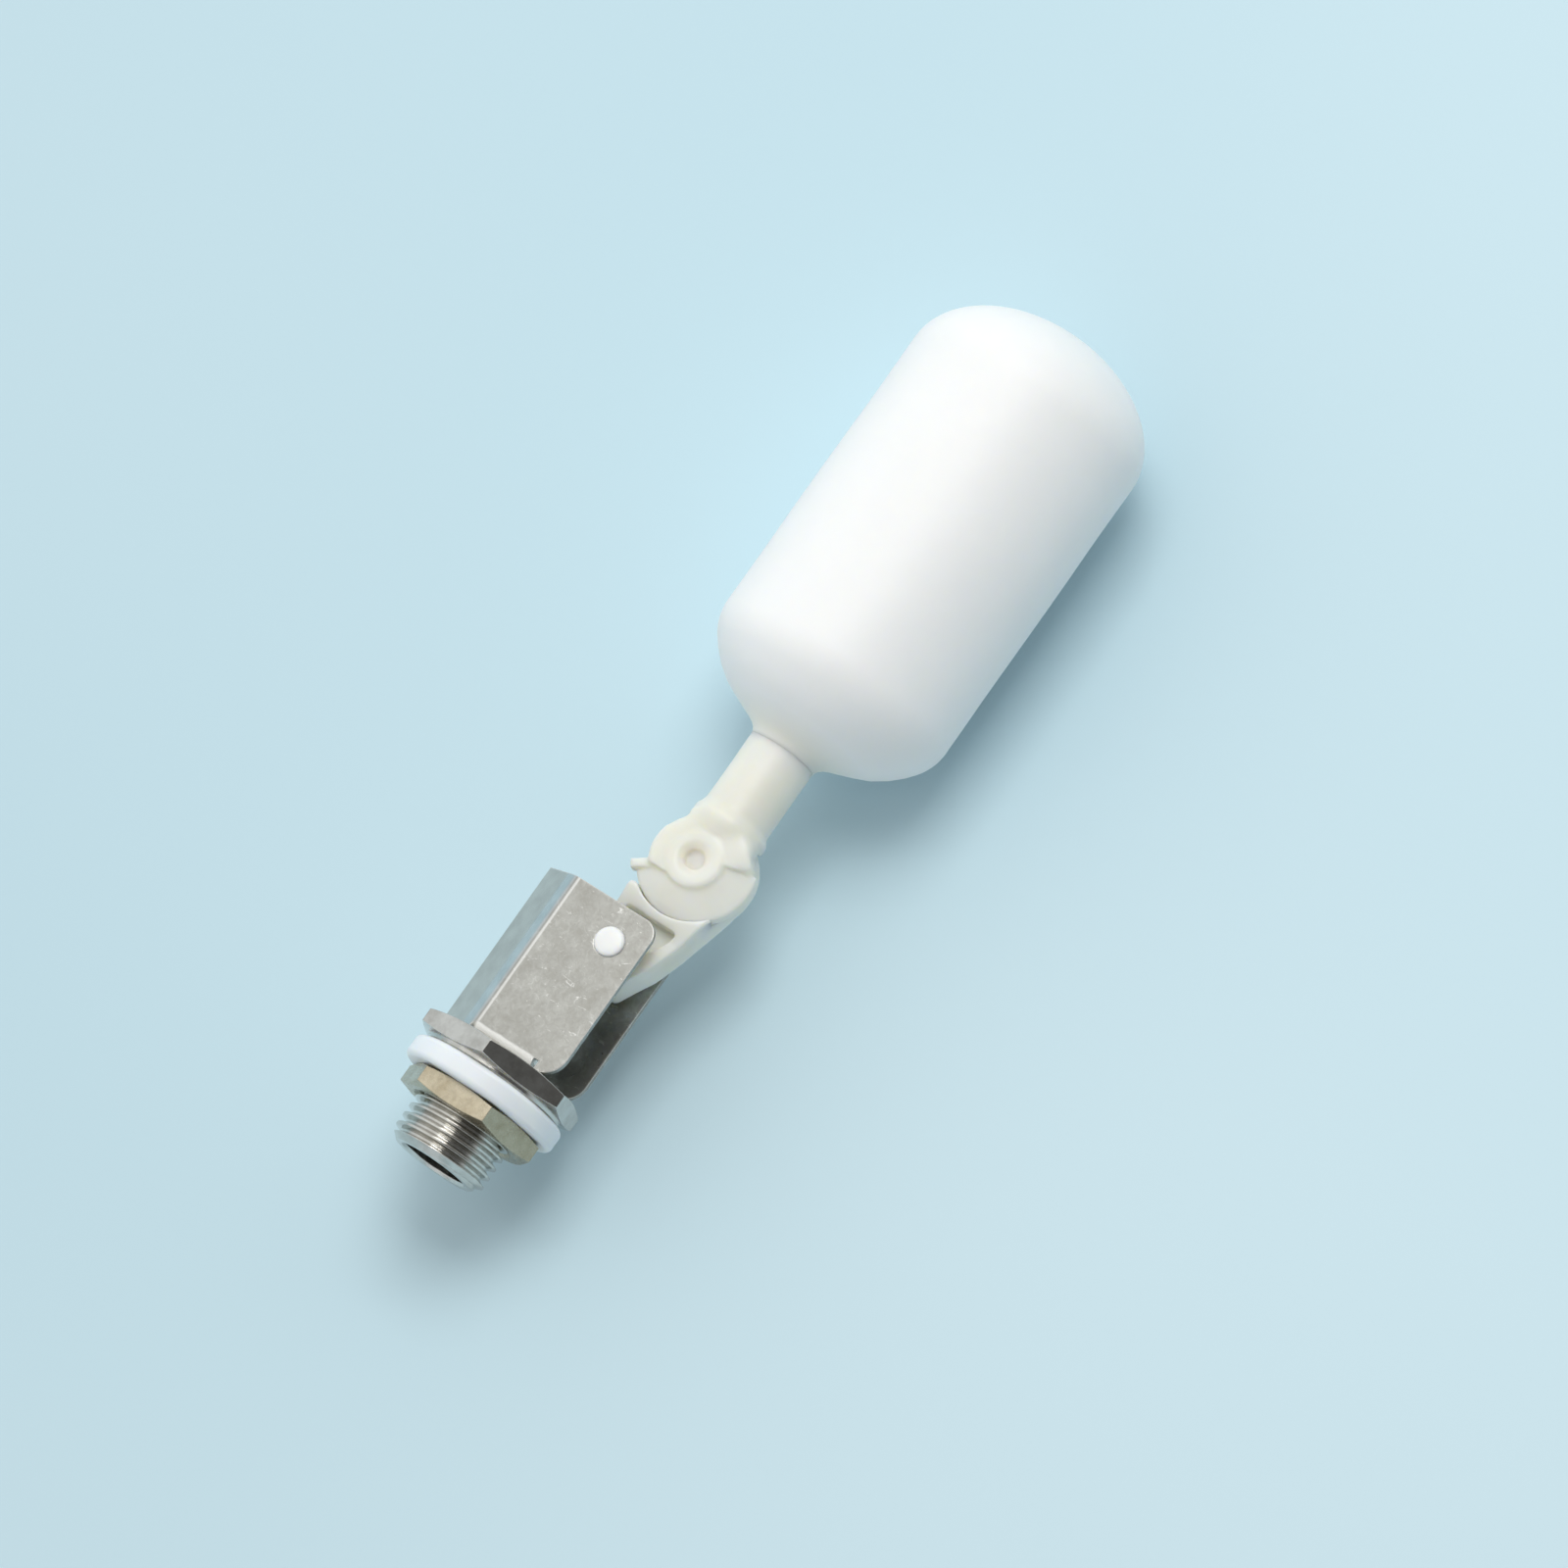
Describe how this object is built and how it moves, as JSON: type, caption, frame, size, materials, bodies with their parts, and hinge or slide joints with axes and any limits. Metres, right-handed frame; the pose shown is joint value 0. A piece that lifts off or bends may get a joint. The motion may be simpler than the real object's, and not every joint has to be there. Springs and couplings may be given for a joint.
{
  "type": "float valve",
  "caption": "Small float valve: threaded inlet with lock nut and washer, folded sheet hood, plastic lever, jointed arm and a cylindrical float that shuts a nozzle as it rises.",
  "frame": {"origin": "on the inlet axis, in the hexagon flange's sealing face", "axes": "+X along the inlet axis from the thread to the float, +Z along the lever pin, +Y towards the hood's closed back, which is up in use"},
  "size_m": [0.1278, 0.033, 0.0326],
  "materials": {
    "plated_metal": "bright nickel plate",
    "sheet_steel": "satin, finely mottled",
    "white_plastic": "smooth moulded",
    "washer_plastic": "milky, slightly soft",
    "ivory_plastic": "translucent natural resin",
    "float_plastic": "blow moulded, faint mould line",
    "seal_rubber": "matt"
  },
  "bodies": {
    "valve_body": {"inlet_body": "plated_metal", "nozzle_seat": "white_plastic", "sealing_washer": "washer_plastic", "hood": "sheet_steel", "hood_ring": "plated_metal", "lever_pin": "white_plastic"},
    "nut": {"lock_nut": "plated_metal"},
    "piston": {"plunger": "white_plastic", "seal_disc": "seal_rubber"},
    "lever": {"lever": "ivory_plastic"},
    "arm": {"float_arm": "ivory_plastic", "float_shell": "float_plastic", "knuckle_washer": "sheet_steel", "knuckle_screw": "sheet_steel"}
  },
  "joints": [
    {"name": "lever_pivot", "type": "hinge", "parent": "valve_body", "child": "lever", "pos_m": [0.0215, -0.0041, 0], "axis": [0, 0, 1], "range_deg": [-30, 0]},
    {"name": "plunger_slide", "type": "slide", "parent": "valve_body", "child": "piston", "axis": [1, 0, 0], "range_m": [0, 0.0022]},
    {"name": "arm_adjust", "type": "hinge", "parent": "lever", "child": "arm", "pos_m": [0.0359, -0.0061, 0], "axis": [0, 0, 1], "range_deg": [-75, 8]},
    {"name": "nut_travel", "type": "slide", "parent": "valve_body", "child": "nut", "axis": [-1, 0, 0], "range_m": [0, 0.0055]}
  ],
  "couplings": [
    {"joint": "plunger_slide", "follows": "lever_pivot", "m_per_rad": -0.0041}
  ]
}
